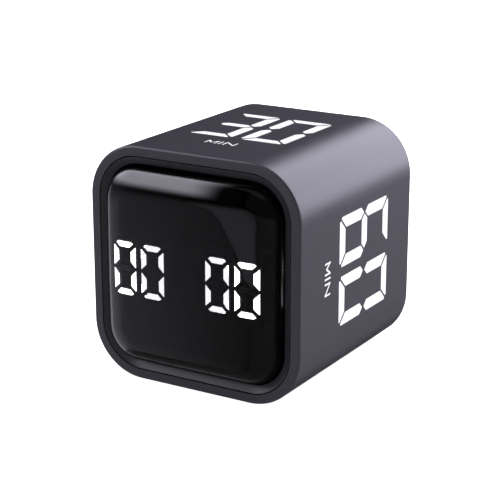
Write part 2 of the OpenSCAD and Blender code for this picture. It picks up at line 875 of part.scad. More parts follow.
module sound_switch_cap() {
  long = slider_cap[0] + 2 * (slider_travel + slip_gap) + 2.4;
  color(near_black) upright() at(slider_xy) difference() {
    union() {
      slab(slider_cap[0], slider_cap[1], 0.6, cap_z, slider_flange_z + eps);
      block(long, slider_cap[1] + 2.2, slider_flange_z, slider_flange_z + flange_t);
      block(slider_stem + 2, slider_stem + 1.5, slider_flange_z, slider_sock_foot);
    }
    block(slider_stem, slider_stem, slider_flange_z + 1.2, slider_sock_foot + 1);
    for (x = [-1.4, 0, 1.4]) at([x, 0]) block(0.4, slider_cap[1] + 1, cap_z - 1, cap_z + 0.3);
  }
}

module charge_led() {
  color(cream) upright() at(pipe_xy) block(1.6, 0.8, main_rear - 0.7, main_rear);
}

module charge_light_pipe() {
  color("#dfe6ee") upright() at(pipe_xy) {
    post(pipe_r, rear_inset + 0.1, main_rear - 0.9);
    post(pipe_r + 0.6, cover_in, cover_in + 0.6);
  }
}

module rear_cover() {
  cut = rear_inset - 1;
  well_d = cover_in + 0.6;
  color(near_black) upright() difference() {
    union() {
      slab(bezel_w, bezel_h, bezel_r, rear_inset, cover_in);
      corners(post_x, post_y) post(post_r, cover_in - 0.5, post_foot);
      for (i = [0:2]) at(key_xy(i))
        post(key_r + flange_rim + slip_gap + guide_ring, cover_in - 0.5, cover_in + guide_ring_h);
    }
    for (i = [0:2]) at(key_xy(i)) {
      post(key_r + slip_gap, cut, cover_in + 1);
      post(key_r + flange_rim + slip_gap, cover_in, cover_in + guide_ring_h + 1);
    }
    corners(post_x, post_y) {
      post(head_r + slip_gap, cut, well_d);
      post(pass_r, cut, post_foot + 1);
    }
    at(slider_xy) slab(slider_cap[0] + 2 * (slider_travel + slip_gap),
                       slider_cap[1] + 2 * slip_gap, 0.7, cut, cover_in + 1);
    at(usb_xy) {
      stadium(plug_recess[0], plug_recess[1], cut, rear_inset + plug_recess_d);
      stadium(usb_w + 2 * slip_gap, usb_h + 2 * slip_gap, cut, cover_in + 1);
    }
    at(pipe_xy) post(pipe_r + shaft_gap, cut, cover_in + 1);
    at(buzzer_xy) {
      post(sound_hole_r, cut, cover_in + 1);
      for (k = [0:5]) rotate([0, 0, 60 * k]) translate([sound_hole_ring, 0, 0])
        post(sound_hole_r, cut, cover_in + 1);
    }
  }
}

module rear_cover_screws() {
  color(steel) upright() corners(post_x, post_y)
    translate([0, 0, cover_in + 0.6]) screw(8);
}

outer_sleeve();
ink([3, 0], 0);  // number_30_top
ink([6, 0], 90);  // number_60_right
ink([5], 180);  // number_5_base
ink([1, 5], 270);  // number_15_left
front_bezel();
lens_gasket();
front_lens();
led_reflector();
segment_light_guides();
middle_light_guides();
segment_leds();
display_board();
display_board_screws();
display_driver_chip();
display_socket();
ribbon_cable();
chassis();
chassis_screws();
battery_cell();
battery_tape();
battery_protection_board();
battery_lead_red();
battery_lead_black();
battery_plug();
battery_socket();
main_board();
main_board_screws();
ribbon_socket();
microcontroller();
gravity_sensor();
charge_controller();
resistors_and_capacitors();
usb_c_shell();
usb_c_tongue();
buzzer();
buzzer_felt();
motor_can();
motor_clip();
motor_shaft();
motor_weight();
tact_switch(0);  // minute_switch
tact_switch(1);  // start_switch
tact_switch(2);  // second_switch
plunger(0);  // minute_plunger
plunger(1);  // start_plunger
plunger(2);  // second_plunger
key(0);  // minute_button
key(1);  // start_button
key(2);  // second_button
sound_switch_body();
sound_switch_stem();
sound_switch_cap();
charge_led();
charge_light_pipe();
rear_cover();
rear_cover_screws();
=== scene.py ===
"""Builds the looks of a cube kitchen timer around its packed CAD model."""

import math

import bmesh
import bpy
from mathutils import Matrix, Quaternion, Vector


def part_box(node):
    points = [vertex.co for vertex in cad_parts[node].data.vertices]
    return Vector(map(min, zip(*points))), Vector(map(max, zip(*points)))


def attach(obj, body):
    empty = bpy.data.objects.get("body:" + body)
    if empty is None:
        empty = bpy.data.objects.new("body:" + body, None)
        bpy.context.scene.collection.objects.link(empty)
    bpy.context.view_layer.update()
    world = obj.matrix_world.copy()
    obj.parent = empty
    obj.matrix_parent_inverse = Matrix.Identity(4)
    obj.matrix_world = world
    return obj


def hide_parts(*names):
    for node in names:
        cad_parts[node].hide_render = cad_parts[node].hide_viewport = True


bl_info = {
    "name": "Cube Kitchen Timer",
    "version": (1, 0, 0),
    "blender": (4, 5, 0),
    "location": "3D View > Sidebar > Timer",
    "description": "Finishes a cube timer: its sleeve, lit display, lens, rear controls and inside",
    "category": "Object",
}

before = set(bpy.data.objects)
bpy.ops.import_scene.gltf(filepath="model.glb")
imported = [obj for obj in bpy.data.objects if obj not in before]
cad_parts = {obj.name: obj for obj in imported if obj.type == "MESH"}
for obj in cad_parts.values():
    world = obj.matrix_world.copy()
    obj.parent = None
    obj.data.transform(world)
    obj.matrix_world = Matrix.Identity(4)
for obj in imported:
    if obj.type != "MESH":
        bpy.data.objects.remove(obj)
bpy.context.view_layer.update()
MM = 0.001

SLEEVE_LOW, SLEEVE_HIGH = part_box("outer_sleeve")
LENS_LOW, LENS_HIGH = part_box("front_lens")
RIM_Y = SLEEVE_LOW.y
MID_Z = (SLEEVE_LOW.z + SLEEVE_HIGH.z) / 2
INK = 0.03 * MM

COOL_WHITE = (0.89, 0.88, 1.0)
BLACK = (0.0, 0.0, 0.0, 1.0)
STEEL = (0.6, 0.6, 0.62)
# Painted shade: the bezel turns to this black between these depths behind the front rim, in the
# recess below the lens.
PAINTED_SHADE_BLACK = (0.001, 0.001, 0.001, 1.0)
PAINTED_SHADE_DEPTHS = (1.2 * MM, 1.8 * MM)

ARC_STEPS = 16
SIDE_STEPS = 16
SHOULDER_RINGS = 24
CROWN_RINGS = 12
LEAST_CORNER = 0.6 * MM


# ---- Writing materials as expressions ----

class Value:
    """A socket of a material's nodes, used in a Python expression as if it were a number."""

    def __init__(self, finish, socket):
        self.finish = finish
        self.socket = socket

    def _math(self, operation, *values):
        return self.finish.add("ShaderNodeMath", {"operation": operation}, values)

    def __add__(self, other):
        return self._math("ADD", self, other)

    def __mul__(self, other):
        return self._math("MULTIPLY", self, other)

    __radd__ = __add__
    __rmul__ = __mul__


class Finish:
    """A material whose nodes are written by calls and expressions."""

    def __init__(self, name):
        self.material = bpy.data.materials.new(name)
        self.material.use_nodes = True
        self.tree = self.material.node_tree
        self.tree.nodes.clear()

    def add(self, kind, settings=None, values=(), output=0):
        """Adds one node. Settings come first, then the numbers or links of its sockets."""
        node = self.tree.nodes.new(kind)
        for key, setting in (settings or {}).items():
            if key == "stops":
                self._set_stops(node.color_ramp, setting)
            else:
                setattr(node, key, setting)
        pairs = values.items() if isinstance(values, dict) else enumerate(values)
        for key, value in pairs:
            if isinstance(value, Value):
                self.tree.links.new(value.socket, node.inputs[key])
            else:
                node.inputs[key].default_value = value
        return Value(self, node.outputs[output])

    @staticmethod
    def _set_stops(ramp, stops):
        while len(ramp.elements) < len(stops):
            ramp.elements.new(1.0)
        for element, (position, colour) in zip(ramp.elements, stops):
            element.position = position
            element.color = colour

    def place(self):
        """The point on the object, in metres."""
        return self.add("ShaderNodeTexCoord", output="Object")

    def grain(self, size, detail=2.0, roughness=0.5):
        """Smooth noise from 0 to 1 whose lumps are about size across."""
        return self.add("ShaderNodeTexNoise", None, {
            "Vector": self.place(), "Scale": 1 / size, "Detail": detail, "Roughness": roughness})

    def spread(self, value, low, high):
        """A value from 0 to 1 mapped to the range from low to high."""
        return value * (high - low) + low

    def sharpen(self, value, low, high):
        """0 below low, 1 above high and smooth between them."""
        return self.add("ShaderNodeMapRange", {"interpolation_type": "SMOOTHSTEP"}, {
            "Value": value, "From Min": low, "From Max": high})

    def part(self, vector, axis):
        """The X, Y or Z of a vector."""
        return self.add("ShaderNodeSeparateXYZ", None, (vector,), output="XYZ".index(axis))

    def mix(self, amount, first, second):
        """A colour between first and second."""
        return self.add("ShaderNodeMix", {"data_type": "RGBA"}, {
            "Factor": amount, 6: first, 7: second}, output=2)

    def bump(self, height, depth, strength=1.0):
        """A normal from a height of 0 to 1 that stands for depth metres."""
        return self.add("ShaderNodeBump", None, {
            "Height": height, "Distance": depth, "Strength": strength})

    def surface(self, **inputs):
        """Closes the material with one Principled shader and returns the material."""
        names = {key.replace("_", " ").title().replace("Ior", "IOR"): value
                 for key, value in inputs.items()}
        shader = self.add("ShaderNodeBsdfPrincipled", None, names)
        self.add_output(shader)
        return self.material

    def add_output(self, shader):
        """Makes that shader the material's surface."""
        output = self.tree.nodes.new("ShaderNodeOutputMaterial")
        self.tree.links.new(shader.socket, output.inputs["Surface"])


def rgba(colour, factor=1.0):
    """A colour with its three parts scaled by factor, and opaque."""
    return (colour[0] * factor, colour[1] * factor, colour[2] * factor, 1.0)


# ---- Finishes ----

def sleeve_paint(colours):
    """Satin grey paint on a moulded tube, with a very fine orange peel."""
    f = Finish("sleeve_paint")
    cloud = f.grain(18 * MM, detail=3.0)
    fine = f.grain(0.22 * MM, detail=2.0)
    base = rgba(colours.sleeve)
    return f.surface(
        base_color=f.mix(cloud, rgba(base, 0.93), rgba(base, 1.07)),
        metallic=colours.sleeve_metallic,
        roughness=f.spread(fine * 0.6 + cloud * 0.4, colours.sleeve_roughness - 0.04,
                           colours.sleeve_roughness + 0.04),
        normal=f.bump(fine, 0.004 * MM),
    )


def printed_paint(colours):
    """White paint that fills the cut numbers."""
    f = Finish("printed_paint")
    fine = f.grain(0.3 * MM)
    base = rgba(colours.printing)
    return f.surface(
        base_color=f.mix(f.grain(3 * MM), rgba(base, 0.97), base),
        roughness=f.spread(fine, 0.5, 0.6),
        specular_ior_level=0.1,
        normal=f.bump(fine, 0.003 * MM),
    )


def moulded_plastic(name, colour, roughness, texture=0.35, depth=0.006):
    """Moulded plastic with a fine spark-eroded texture of that grain and depth in mm."""
    f = Finish(name)
    fine = f.grain(texture * MM, detail=3.0)
    base = rgba(colour)
    return f.surface(
        base_color=f.mix(f.grain(9 * MM), rgba(base, 0.92), rgba(base, 1.08)),
        roughness=f.spread(fine, roughness - 0.04, roughness + 0.05),
        normal=f.bump(fine, depth * MM),
    )


def bezel_plastic(colours):
    """Fine black plastic with painted shade: it turns black and rougher further back, in the recess
    below the lens.
    """
    f = Finish("bezel_plastic")
    fine = f.grain(0.2 * MM, detail=3.0)
    # Painted shade: 0 at the front and 1 deeper in the recess below the lens, where the colour
    # turns black and rougher.
    start, end = (RIM_Y + depth for depth in PAINTED_SHADE_DEPTHS)
    low = f.sharpen(f.part(f.place(), "Y"), start, end)
    return f.surface(
        base_color=f.mix(low, rgba(colours.bezel), PAINTED_SHADE_BLACK),
        roughness=f.spread(fine, 0.34, 0.40) + low * 0.5,
        normal=f.bump(fine, 0.002 * MM),
    )


def lens_plastic(colours):
    """Clear dark acrylic, polished, with a trace of moulding flow."""
    f = Finish("lens_plastic")
    flow = f.grain(14 * MM, detail=1.0)
    return f.surface(
        base_color=f.mix(flow, rgba(colours.lens_tint, 0.97), rgba(colours.lens_tint, 1.03)),
        roughness=f.spread(flow, 0.001, 0.003),
        ior=1.49,
        specular_ior_level=colours.lens_shine,
        transmission_weight=1.0,
    )


def lit_segment(colours):
    """Milky plastic lit from behind."""
    f = Finish("lit_segment")
    soft = f.grain(1.5 * MM)
    lit = rgba(colours.display)
    return f.surface(
        base_color=(0.9, 0.9, 0.92, 1.0),
        roughness=f.spread(soft, 0.45, 0.55),
        emission_color=f.mix(soft, rgba(lit, 0.97), lit),
        emission_strength=colours.display_strength,
    )


def brushed_metal(name, colour, roughness, lengthways=(1, 1, 0.04)):
    """Plated or drawn metal with fine lines along one axis."""
    f = Finish(name)
    stretched = f.add("ShaderNodeVectorMath", {"operation": "MULTIPLY"},
                      (f.place(), lengthways))
    lines = f.add("ShaderNodeTexNoise", None, {
        "Vector": stretched, "Scale": 1 / (0.15 * MM), "Detail": 2.0})
    base = rgba(colour)
    return f.surface(
        base_color=f.mix(lines, rgba(base, 0.9), base),
        metallic=1.0,
        roughness=f.spread(lines, roughness - 0.06, roughness + 0.08),
        normal=f.bump(lines, 0.002 * MM),
    )


def board_resist(colour):
    """Solder resist over copper tracks, which show as lighter lines."""
    f = Finish("board_resist")
    cells = f.add("ShaderNodeTexVoronoi", {"distance": "MANHATTAN", "feature": "F1"}, {
        "Vector": f.place(), "Scale": 1 / (3.2 * MM), "Randomness": 0.55})
    tracks = f.sharpen(f.add("ShaderNodeMath", {"operation": "PINGPONG"}, (cells, 0.16)),
                       0.07, 0.1)
    base = rgba(colour)
    return f.surface(
        base_color=f.mix(tracks, base, rgba(colour, 1.7)),
        roughness=f.spread(f.grain(0.5 * MM), 0.28, 0.36),
        normal=f.bump(tracks, 0.02 * MM),
    )


def felt_cloth(colour):
    """Matted felt."""
    f = Finish("felt_cloth")
    fluff = f.grain(0.25 * MM, detail=6.0, roughness=0.7)
    return f.surface(base_color=f.mix(fluff, rgba(colour, 0.6), rgba(colour, 1.4)),
                     roughness=0.95, normal=f.bump(fluff, 0.1 * MM))


def foil_pouch(colour):
    """A cell's foil pouch, which is crinkled."""
    f = Finish("foil_pouch")
    crinkle = f.grain(2.5 * MM, detail=4.0)
    return f.surface(base_color=f.mix(crinkle, rgba(colour, 0.85), rgba(colour)),
                     metallic=0.85, roughness=f.spread(crinkle, 0.3, 0.45),
                     normal=f.bump(crinkle, 0.12 * MM))


def paint_node(name, material):
    """Gives a CAD node its finish."""
    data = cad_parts[name].data
    data.materials.clear()
    data.materials.append(material)


# ---- Mesh building ----

def new_piece(name, bm, material, body):
    """Turns a bmesh into a piece that rides on a body."""
    mesh = bpy.data.meshes.new(name)
    bm.normal_update()
    bm.to_mesh(mesh)
    bm.free()
    mesh.materials.append(material)
    piece = bpy.data.objects.new(name, mesh)
    bpy.context.scene.collection.objects.link(piece)
    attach(piece, body)
    return piece


def rounded_outline(half_w, half_h, radius):
    """Points round a rectangle with rounded corners, anticlockwise from the right side."""
    points = []
    centres = [(1, 1), (-1, 1), (-1, -1), (1, -1)]
    for index, (sx, sy) in enumerate(centres):
        cx, cy = sx * (half_w - radius), sy * (half_h - radius)
        for step in range(ARC_STEPS + 1):
            angle = math.radians(90 * (index + step / ARC_STEPS))
            points.append(Vector((cx + radius * math.cos(angle),
                                  cy + radius * math.sin(angle))))
        nx, ny = centres[(index + 1) % 4]
        end_angle = math.radians(90 * (index + 1))
        start = points[-1]
        end = Vector((nx * (half_w - radius) + radius * math.cos(end_angle),
                      ny * (half_h - radius) + radius * math.sin(end_angle)))
        points += [start.lerp(end, k / SIDE_STEPS) for k in range(1, SIDE_STEPS)]
    return points


def join_rings(bm, first, second):
    """Closes the band between two rings of as many vertices."""
    count = len(first)
    for k in range(count):
        bm.faces.new((first[k], first[(k + 1) % count], second[(k + 1) % count], second[k]))


class Dome:
    """The outer or inner face of the lens, as a height over the front rim."""

    def __init__(self, sizes, inset):
        self.half_w = (LENS_HIGH.x - LENS_LOW.x) / 2 - inset
        self.half_h = (LENS_HIGH.z - LENS_LOW.z) / 2 - inset
        self.corner = sizes.corner_radius - inset
        widest = sizes.corner_radius - LEAST_CORNER
        self.shoulder = min(sizes.shoulder, widest) - inset / 2
        self.rise = RIM_Y - LENS_LOW.y - inset
        self.crown = sizes.crown
        self.power = sizes.squareness

    def crown_at(self, x, z):
        """How far the crown stands at x and z, both measured from the lens's middle."""
        return self.crown * (1 - ((x / self.half_w) ** 2 + (z / self.half_h) ** 2) / 2)

    def rings(self):
        """Rings of points from the rim level to the middle."""
        for step in range(SHOULDER_RINGS + 1):
            turn = math.radians(90 * step / SHOULDER_RINGS)
            inset = self.shoulder * (1 - math.cos(turn) ** (2 / self.power))
            height = (self.rise - self.crown) * math.sin(turn) ** (2 / self.power)
            outline = rounded_outline(self.half_w - inset, self.half_h - inset,
                                      self.corner - inset)
            yield [self.point(p, height) for p in outline]
        for step in range(1, CROWN_RINGS):
            share = 1 - step / CROWN_RINGS
            yield [self.point(p * share, self.rise - self.crown) for p in outline]

    def point(self, p, height):
        """The place of an outline's point, raised by height over the rim and by the crown."""
        return Vector((p.x, RIM_Y - height - self.crown_at(p.x, p.y), MID_Z + p.y))


def lens_mesh(sizes):
    """A closed shell: outer face, inner face and the foot between them."""
    bm = bmesh.new()
    feet = []
    for inset in (0.0, sizes.thickness):
        dome = Dome(sizes, inset)
        outline = rounded_outline(dome.half_w, dome.half_h, dome.corner)
        foot = [bm.verts.new((p.x, LENS_HIGH.y, MID_Z + p.y)) for p in outline]
        feet.append(foot)
        previous = foot
        for ring in dome.rings():
            verts = [bm.verts.new(p) for p in ring]
            join_rings(bm, previous, verts)
            previous = verts
        tip = bm.verts.new(dome.point(Vector((0, 0)), dome.rise - dome.crown))
        for k, vert in enumerate(previous):
            bm.faces.new((vert, previous[(k + 1) % len(previous)], tip))
    join_rings(bm, feet[1], feet[0])
    bmesh.ops.recalc_face_normals(bm, faces=bm.faces)
    for face in bm.faces:
        face.smooth = True
    return bm


def ribbon(points, width):
    """The outline of a stroke of that width along a line of points."""
    left, right = [], []
    for k, point in enumerate(points):
        along = points[min(k + 1, len(points) - 1)] - points[max(k - 1, 0)]
        across = Vector((-along.y, along.x)).normalized() * width / 2
        left.append(point + across)
        right.append(point - across)
    return left + right[::-1]


def arc(centre, radius, start, end, steps=14):
    """Points along an arc from the start angle to the end angle, in degrees."""
    angles = [math.radians(start + (end - start) * k / steps) for k in range(steps + 1)]
    return [Vector(centre) + Vector((math.cos(a), math.sin(a))) * radius for a in angles]


def block(low_u, high_u, low_v, high_v):
    """The outline of an upright rectangle."""
    return [Vector((low_u, low_v)), Vector((high_u, low_v)),
            Vector((high_u, high_v)), Vector((low_u, high_v))]


def letter_m(half_w, half_h, stroke):
    """One outline of a capital M. Its middle strokes run down to a blunt tip."""
    inner, top, tip = half_w - stroke, half_w - 1.15 * stroke, 0.35 * stroke
    dip, fork = -0.45 * half_h, 0.1 * half_h
    shoulder = dip + (half_h - fork) * (inner - tip) / top
    right = [(top, half_h), (half_w, half_h), (half_w, -half_h), (inner, -half_h),
             (inner, shoulder), (tip, dip)]
    return ([Vector((0, fork))] + [Vector(p) for p in right]
            + [Vector((-u, v)) for u, v in reversed(right)])


def letter_s(half_h, stroke):
    """One outline of a capital S, made of two round bowls."""
    bowl = (half_h - stroke / 2) / 2
    upper = arc((0, bowl), bowl, 25, 270)
    lower = arc((0, -bowl), bowl, 90, -155)
    return ribbon(upper + lower[1:], stroke)


def printed_mark(name, outlines, centre, face_y, material, body):
    """Ink on the back. Outlines run to the right and up for someone who looks at the back."""
    bm = bmesh.new()
    for outline in outlines:
        rings = [[bm.verts.new((centre[0] - p.x, y, centre[1] + p.y)) for p in outline]
                 for y in (face_y, face_y + INK)]
        join_rings(bm, *rings)
        for ring in rings:
            bm.faces.new(ring)
    bmesh.ops.recalc_face_normals(bm, faces=bm.faces)
    return new_piece(name, bm, material, body)


# ---- Settings ----

class TimerColours(bpy.types.PropertyGroup):
    """Colours and gloss that a user would change."""

    sleeve: bpy.props.FloatVectorProperty(
        name="Sleeve", description="Paint of the outer sleeve", subtype="COLOR",
        default=(0.046, 0.043, 0.056), min=0, max=1)
    sleeve_metallic: bpy.props.FloatProperty(
        name="Sleeve metallic", description="How metallic the sleeve's paint is",
        subtype="FACTOR", default=0.35, min=0, max=1)
    sleeve_roughness: bpy.props.FloatProperty(
        name="Sleeve roughness", description="Roughness of the sleeve's paint",
        subtype="FACTOR", default=0.44, min=0.1, max=1)
    printing: bpy.props.FloatVectorProperty(
        name="Printing", description="Paint of the side numbers", subtype="COLOR",
        default=(0.84, 0.84, 0.86), min=0, max=1)
    bezel: bpy.props.FloatVectorProperty(
        name="Bezel", description="Colour of the front ring", subtype="COLOR",
        default=(0.0205, 0.0195, 0.025), min=0, max=1)
    plastic: bpy.props.FloatVectorProperty(
        name="Rear plastic", description="Colour of the rear cover and its keys",
        subtype="COLOR", default=(0.026, 0.026, 0.029), min=0, max=1)
    lens_tint: bpy.props.FloatVectorProperty(
        name="Lens tint", description="Smoke colour of the lens", subtype="COLOR",
        default=(0.05, 0.05, 0.053), min=0, max=1)
    lens_shine: bpy.props.FloatProperty(
        name="Lens shine", description="Strength of the lens's reflections",
        subtype="FACTOR", default=0.5, min=0, max=1)
    display: bpy.props.FloatVectorProperty(
        name="Display", description="Colour of the lit segments", subtype="COLOR",
        default=(1.0, 1.0, 1.0), min=0, max=1)
    display_strength: bpy.props.FloatProperty(
        name="Display strength", description="Brightness of the lit segments",
        default=20.5, min=0, max=50)


class LensSizes(bpy.types.PropertyGroup):
    """Shape of the domed front lens."""

    thickness: bpy.props.FloatProperty(
        name="Thickness", description="Wall of the lens", subtype="DISTANCE", default=1.0 * MM)
    corner_radius: bpy.props.FloatProperty(
        name="Corner radius", description="Radius of the lens's outline at its corners",
        subtype="DISTANCE", default=8.65 * MM)
    shoulder: bpy.props.FloatProperty(
        name="Shoulder", description="Width of the rounded shoulder", subtype="DISTANCE",
        default=6.5 * MM)
    squareness: bpy.props.FloatProperty(
        name="Squareness", description="2 gives an elliptical shoulder, and more a squarer one",
        default=2.0, min=1.5, max=4)
    crown: bpy.props.FloatProperty(
        name="Crown", description="How far the middle stands above the shoulder",
        subtype="DISTANCE", default=0.8 * MM)


class MarkSizes(bpy.types.PropertyGroup):
    """The marks printed on the back."""

    height: bpy.props.FloatProperty(
        name="Height", description="Height of the letters on the keys", subtype="DISTANCE",
        default=2.3 * MM)
    stroke: bpy.props.FloatProperty(
        name="Stroke", description="Width of the lines", subtype="DISTANCE",
        default=0.4 * MM)
    gap: bpy.props.FloatProperty(
        name="Gap", description="Distance between the slider's cap and the bars over it",
        subtype="DISTANCE", default=1.7 * MM)
    bar_pitch: bpy.props.FloatProperty(
        name="Bar pitch", description="Distance from one bar over the slider to the next",
        subtype="DISTANCE", default=1.6 * MM)
    flash_gap: bpy.props.FloatProperty(
        name="Flash gap", description="Distance from the charge light to its flash",
        subtype="DISTANCE", default=1.5 * MM)


class StageSettings(bpy.types.PropertyGroup):
    """Camera, floor and lights."""

    azimuth: bpy.props.FloatProperty(
        name="Azimuth", description="Camera's direction round the timer, 0 in front",
        subtype="ANGLE", default=math.radians(30.978))
    elevation: bpy.props.FloatProperty(
        name="Elevation", description="Camera's height above level", subtype="ANGLE",
        default=math.radians(17.073))
    distance: bpy.props.FloatProperty(
        name="Distance", description="Camera's distance", subtype="DISTANCE",
        default=405.08 * MM)
    focal_length: bpy.props.FloatProperty(
        name="Focal length", description="Camera's focal length in mm", default=111.95)
    side_step: bpy.props.FloatProperty(
        name="Side step", description="How far right of the middle the camera looks",
        subtype="DISTANCE", default=-0.994 * MM)
    aim_height: bpy.props.FloatProperty(
        name="Aim height", description="Height that the camera looks at", subtype="DISTANCE",
        default=28.66 * MM)
    floor_size: bpy.props.FloatProperty(
        name="Floor", description="Width of the floor", subtype="DISTANCE", default=400.0)
    floor_glow: bpy.props.FloatProperty(
        name="Floor glow", description="Light that the pale floor gives off", default=1.0)
    sky: bpy.props.FloatProperty(
        name="Sky", description="Strength of the even light from above", default=0.06)
    left_glow: bpy.props.FloatProperty(
        name="Left glow", description="Strength of the glow that the lens mirrors",
        default=5.6)
    right_glow: bpy.props.FloatProperty(
        name="Right glow", description="Strength of the low glow that the right side mirrors",
        default=0.48)
    window_glow: bpy.props.FloatProperty(
        name="Window glow", description="Strength of the pane that the lens mirrors",
        default=0.36)
    back_right: bpy.props.FloatProperty(
        name="Back right", description="Power of the tall soft box behind the right side",
        unit="POWER", default=22.0)
    overhead: bpy.props.FloatProperty(
        name="Overhead", description="Strength of the wide soft light from above", default=3.0)


SETTINGS = {"timer_colours": TimerColours, "lens_sizes": LensSizes,
            "mark_sizes": MarkSizes, "timer_stage": StageSettings}


# ---- Operators ----

class TIMER_OT_paint_case(bpy.types.Operator):
    """Finishes the sleeve, its numbers, the bezel and the rear cover"""

    bl_idname = "timer.paint_case"
    bl_label = "Paint case"

    def execute(self, context):
        colours = context.scene.timer_colours
        paint_node("outer_sleeve", sleeve_paint(colours))
        print_white = printed_paint(colours)
        for name in ("number_30_top", "number_60_right", "number_5_base", "number_15_left"):
            paint_node(name, print_white)
        paint_node("front_bezel", bezel_plastic(colours))
        paint_node("rear_cover", moulded_plastic("cover_plastic", colours.plastic, 0.5))
        return {"FINISHED"}


class TIMER_OT_make_display(bpy.types.Operator):
    """Makes the domed lens and finishes what lights up behind it"""

    bl_idname = "timer.make_display"
    bl_label = "Make display"

    def execute(self, context):
        colours = context.scene.timer_colours
        lens = new_piece("domed_lens", lens_mesh(context.scene.lens_sizes),
                         lens_plastic(colours), "case")
        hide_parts("front_lens")
        paint_node("segment_light_guides", lit_segment(colours))
        # Painted shade: the unlit middle guides are the same milky plastic as the lit ones,
        # coloured near black because they have no light behind them.
        paint_node("middle_light_guides", moulded_plastic(
            "unlit_guide_painted_shade", (0.012, 0.012, 0.013), 0.6))
        dull = moulded_plastic("reflector_plastic", (0.004, 0.004, 0.0045), 0.85)
        for name in ("led_reflector", "lens_gasket"):
            paint_node(name, dull)
        return {"FINISHED"}


class TIMER_OT_finish_controls(bpy.types.Operator):
    """Finishes the rear keys, the sound slider and their switches"""

    bl_idname = "timer.finish_controls"
    bl_label = "Finish controls"

    def execute(self, context):
        colours = context.scene.timer_colours
        key = moulded_plastic("key_plastic", [c * 1.6 for c in colours.plastic], 0.42)
        for name in ("minute_button", "start_button", "second_button", "sound_switch_cap"):
            paint_node(name, key)
        dark = moulded_plastic("switch_plastic", (0.02, 0.02, 0.022), 0.5)
        for name in ("minute_switch", "start_switch", "second_switch", "sound_switch_stem"):
            paint_node(name, dark)
        grey = moulded_plastic("plunger_plastic", (0.2, 0.2, 0.21), 0.45)
        for name in ("minute_plunger", "start_plunger", "second_plunger"):
            paint_node(name, grey)
        paint_node("sound_switch_body", brushed_metal("switch_plate", STEEL, 0.3))
        return {"FINISHED"}


class TIMER_OT_print_marks(bpy.types.Operator):
    """Prints the marks on the keys, over the sound slider and beside the charge light"""

    bl_idname = "timer.print_marks"
    bl_label = "Print marks"

    def execute(self, context):
        sizes = context.scene.mark_sizes
        self.ink = moulded_plastic("mark_ink", (0.62, 0.62, 0.64), 0.5)
        half, stroke = sizes.height / 2, sizes.stroke
        self.mark_key("minute", [letter_m(half * 0.85, half, stroke)])
        self.mark_key("second", [letter_s(half, stroke)])
        back, tip = -1.8 * half, -0.1 * half
        play = [Vector((back, -half)), Vector((tip, 0)), Vector((back, half))]
        pause = [block(u, u + stroke, -half, half) for u in (0.5 * half, 1.25 * half)]
        self.mark_key("start", [play] + pause)
        self.mark_cover(sizes)
        return {"FINISHED"}

    def mark_key(self, key, outlines):
        """Prints outlines on the middle of a key's cap."""
        low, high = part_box(key + "_button")
        centre = ((low.x + high.x) / 2, (low.z + high.z) / 2)
        printed_mark(key + "_mark", outlines, centre, high.y, self.ink, key + "_key")

    def mark_cover(self, sizes):
        """Prints three rising bars over the slider and a flash beside the charge light."""
        face_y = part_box("rear_cover")[1].y
        cap_low, cap_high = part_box("sound_switch_cap")
        pitch, bar, rise = sizes.bar_pitch, 0.4 * sizes.bar_pitch, 0.5 * MM
        bars = [block(k * pitch - bar, k * pitch, 0, (2 + k) * rise) for k in (-1, 0, 1)]
        over_slider = ((cap_low.x + cap_high.x) / 2, cap_high.z + sizes.gap)
        printed_mark("sound_mark", bars, over_slider, face_y, self.ink, "case")
        light_low, light_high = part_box("charge_light_pipe")
        half = (light_high.z - light_low.z) / 2
        one_side = [Vector((0.25, 1.0)), Vector((-0.55, -0.15)), Vector((-0.05, -0.15))]
        flash = [p * half for p in one_side + [-p for p in one_side]]
        beside_light = (light_high.x + sizes.flash_gap, (light_low.z + light_high.z) / 2)
        printed_mark("charge_mark", [flash], beside_light, face_y, self.ink, "case")


class TIMER_OT_finish_inside(bpy.types.Operator):
    """Finishes the chassis, boards, chips, cell, motor, socket and screws"""

    bl_idname = "timer.finish_inside"
    bl_label = "Finish inside"

    def execute(self, context):
        groups = (
            (moulded_plastic("chassis_plastic", (0.024, 0.024, 0.027), 0.55),
             ("chassis", "buzzer", "usb_c_tongue")),
            (moulded_plastic("chip_resin", (0.022, 0.022, 0.024), 0.6),
             ("display_driver_chip", "microcontroller", "gravity_sensor",
              "charge_controller")),
            (board_resist((0.012, 0.09, 0.045)),
             ("display_board", "main_board", "battery_protection_board")),
            (moulded_plastic("cream_plastic", (0.72, 0.67, 0.56), 0.45),
             ("segment_leds", "display_socket", "ribbon_socket", "battery_plug",
              "battery_socket", "charge_led", "ribbon_cable")),
            (moulded_plastic("component_ceramic", (0.33, 0.22, 0.12), 0.4),
             ("resistors_and_capacitors",)),
            (brushed_metal("plated_steel", STEEL, 0.28),
             ("display_board_screws", "chassis_screws", "main_board_screws",
              "usb_c_shell", "motor_can", "motor_clip", "motor_shaft")),
            (brushed_metal("blackened_steel", (0.09, 0.09, 0.095), 0.35),
             ("rear_cover_screws",)),
            (brushed_metal("sintered_weight", (0.5, 0.42, 0.25), 0.45), ("motor_weight",)),
            (foil_pouch((0.55, 0.57, 0.6)), ("battery_cell",)),
            (felt_cloth((0.03, 0.03, 0.032)), ("buzzer_felt",)),
            (moulded_plastic("tape_foam", (0.66, 0.63, 0.56), 0.9), ("battery_tape",)),
            (moulded_plastic("red_sleeving", (0.45, 0.02, 0.015), 0.4), ("battery_lead_red",)),
            (moulded_plastic("black_sleeving", (0.015, 0.015, 0.015), 0.4),
             ("battery_lead_black",)),
            (moulded_plastic("clear_rod", (0.75, 0.8, 0.85), 0.15), ("charge_light_pipe",)),
        )
        for material, names in groups:
            for name in names:
                paint_node(name, material)
        return {"FINISHED"}


